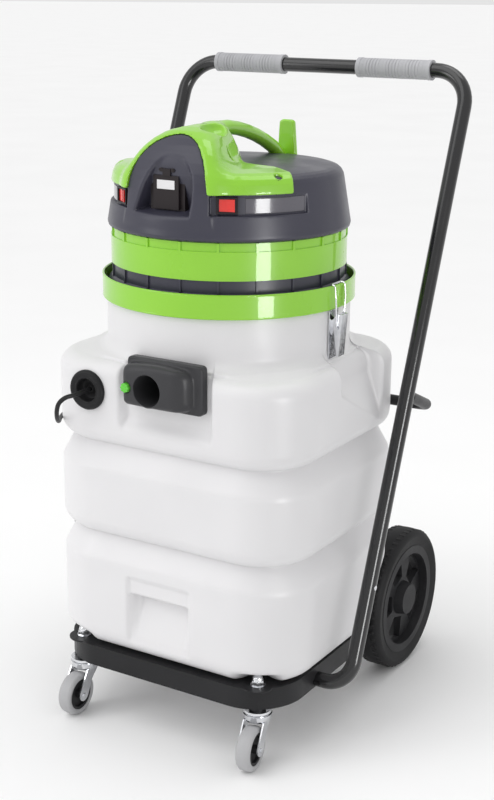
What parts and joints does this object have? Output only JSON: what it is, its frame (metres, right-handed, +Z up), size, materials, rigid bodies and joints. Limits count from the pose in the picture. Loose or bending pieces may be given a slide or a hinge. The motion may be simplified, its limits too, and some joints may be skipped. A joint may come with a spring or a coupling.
{
  "type": "wet and dry extraction vacuum",
  "caption": "Upright wet and dry extraction machine: white moulded tank on a wheeled frame, green and grey lift-off motor head, side latches and a tubular push handle.",
  "frame": {"origin": "on the floor, under the middle of the machine's bounding box, the free pump lead not counted", "axes": "+X to the right seen from the front, -Y to the front (suction inlet), +Z up"},
  "size_m": [0.6505, 0.7166, 1.1845],
  "materials": {
    "white_tank": "satin moulded polyethylene",
    "green_plastic": "gloss moulded ABS",
    "dark_plastic": "satin moulded ABS",
    "black_plastic": "fine-grained moulded plastic",
    "black_powder": "black powder coat",
    "black_gloss_tube": "gloss black enamel",
    "zinc": "bright zinc plate",
    "steel": "turned steel",
    "grey_rubber": "soft grey rubber",
    "black_rubber": "black rubber",
    "black_tyre": "solid black tyre",
    "red_rocker": "translucent red",
    "green_button": "bright green",
    "lead_pvc": "black PVC sheath",
    "inner_plastic": "plain moulded plastic",
    "float_plastic": "plain moulded plastic"
  },
  "bodies": {
    "chassis": {"base_frame": "black_powder", "tank": "white_tank", "axle_brackets": "black_powder", "rear_axle": "steel", "caster_stems": "zinc", "caster_nuts": "zinc", "handle_tube_left": "black_gloss_tube", "handle_tube_right": "black_gloss_tube", "latch_base_left": "zinc", "latch_base_right": "zinc", "handle_bow": "black_gloss_tube", "handle_spigots": "steel", "handle_bolts": "zinc", "grip_left": "grey_rubber", "grip_right": "grey_rubber", "rear_bar": "black_powder", "collar_ring": "green_plastic", "tank_seal": "black_rubber", "inlet_plate": "black_plastic", "inlet_housing": "black_plastic", "inlet_sleeve": "black_plastic", "cable_grommet": "black_rubber", "pump_body": "inner_plastic", "riser_pipe": "inner_plastic", "drain_outlet": "black_plastic", "drain_hose": "black_plastic", "hose_cap": "black_plastic", "hose_clips": "black_plastic", "pump_lead": "lead_pvc", "pump_plug": "black_plastic"},
    "head": {"motor_cover": "dark_plastic", "handle_shell": "green_plastic", "cable_hook": "green_plastic", "head_band": "green_plastic", "clamp_ring": "dark_plastic", "motor_plate": "inner_plastic", "fan_motors": "steel", "float_cage": "inner_plastic", "socket_body": "black_plastic", "switch_bezels": "black_plastic", "cover_screws": "zinc"},
    "socket_lid": {"socket_lid": "black_plastic"},
    "float": {"float_ball": "float_plastic"},
    "release_button": {"release_button": "green_button"},
    "rocker_left": {"rocker_left": "red_rocker"},
    "caster_fork_left": {"caster_fork_left": "zinc"},
    "caster_wheel_left": {"caster_tyre_left": "grey_rubber", "caster_hub_left": "black_plastic"},
    "rear_wheel_left": {"rear_tyre_left": "black_tyre", "rear_rim_left": "black_plastic"},
    "latch_lever_left": {"latch_lever_left": "zinc"},
    "latch_bail_left": {"latch_bail_left": "zinc"},
    "rocker_right": {"rocker_right": "red_rocker"},
    "caster_fork_right": {"caster_fork_right": "zinc"},
    "caster_wheel_right": {"caster_tyre_right": "grey_rubber", "caster_hub_right": "black_plastic"},
    "rear_wheel_right": {"rear_tyre_right": "black_tyre", "rear_rim_right": "black_plastic"},
    "latch_lever_right": {"latch_lever_right": "zinc"},
    "latch_bail_right": {"latch_bail_right": "zinc"}
  },
  "joints": [
    {"name": "head_lift", "type": "slide", "parent": "chassis", "child": "head", "axis": [0, 0, 1], "range_m": [0, 0.3]},
    {"name": "socket_lid_open", "type": "hinge", "parent": "head", "child": "socket_lid", "pos_m": [-0.006, -0.2625, 1.021], "axis": [-1, 0, 0], "range_deg": [0, 100]},
    {"name": "float_rise", "type": "slide", "parent": "head", "child": "float", "axis": [0, 0, 1], "range_m": [0, 0.06]},
    {"name": "release_button_press", "type": "slide", "parent": "chassis", "child": "release_button", "axis": [0, 1, 0], "range_m": [0, 0.002]},
    {"name": "rocker_left_tilt", "type": "hinge", "parent": "head", "child": "rocker_left", "pos_m": [-0.10254, -0.24716, 0.97], "axis": [0, 0, 1], "range_deg": [0, 16]},
    {"name": "caster_left_swivel", "type": "hinge", "parent": "chassis", "child": "caster_fork_left", "pos_m": [-0.189, -0.2785, 0.09], "axis": [0, 0, 1], "continuous": true},
    {"name": "caster_left_spin", "type": "hinge", "parent": "caster_fork_left", "child": "caster_wheel_left", "pos_m": [-0.189, -0.3075, 0.04], "axis": [1, 0, 0], "continuous": true},
    {"name": "rear_wheel_left_spin", "type": "hinge", "parent": "chassis", "child": "rear_wheel_left", "pos_m": [-0.218, 0.2085, 0.14], "axis": [1, 0, 0], "continuous": true},
    {"name": "latch_left_lever", "type": "hinge", "parent": "chassis", "child": "latch_lever_left", "pos_m": [-0.2335, -0.0885, 0.7707], "axis": [0, 1, 0], "range_deg": [0, 120]},
    {"name": "latch_left_bail", "type": "hinge", "parent": "latch_lever_left", "child": "latch_bail_left", "pos_m": [-0.2304, -0.0885, 0.753], "axis": [0, 1, 0], "range_deg": [-156, 0]},
    {"name": "rocker_right_tilt", "type": "hinge", "parent": "head", "child": "rocker_right", "pos_m": [0.10254, -0.24716, 0.97], "axis": [0, 0, 1], "range_deg": [0, 16]},
    {"name": "caster_right_swivel", "type": "hinge", "parent": "chassis", "child": "caster_fork_right", "pos_m": [0.189, -0.2785, 0.09], "axis": [0, 0, 1], "continuous": true},
    {"name": "caster_right_spin", "type": "hinge", "parent": "caster_fork_right", "child": "caster_wheel_right", "pos_m": [0.19284, -0.30724, 0.04], "axis": [0.9912, 0.1323, 0], "continuous": true},
    {"name": "rear_wheel_right_spin", "type": "hinge", "parent": "chassis", "child": "rear_wheel_right", "pos_m": [0.218, 0.2085, 0.14], "axis": [1, 0, 0], "continuous": true},
    {"name": "latch_right_lever", "type": "hinge", "parent": "chassis", "child": "latch_lever_right", "pos_m": [0.2335, -0.0885, 0.7707], "axis": [0, -1, 0], "range_deg": [0, 120]},
    {"name": "latch_right_bail", "type": "hinge", "parent": "latch_lever_right", "child": "latch_bail_right", "pos_m": [0.2304, -0.0885, 0.753], "axis": [0, -1, 0], "range_deg": [-156, 0]}
  ],
  "couplings": [
    {"joint": "latch_left_bail", "follows": "latch_left_lever", "ratio": -1.3},
    {"joint": "latch_right_bail", "follows": "latch_right_lever", "ratio": -1.3}
  ]
}
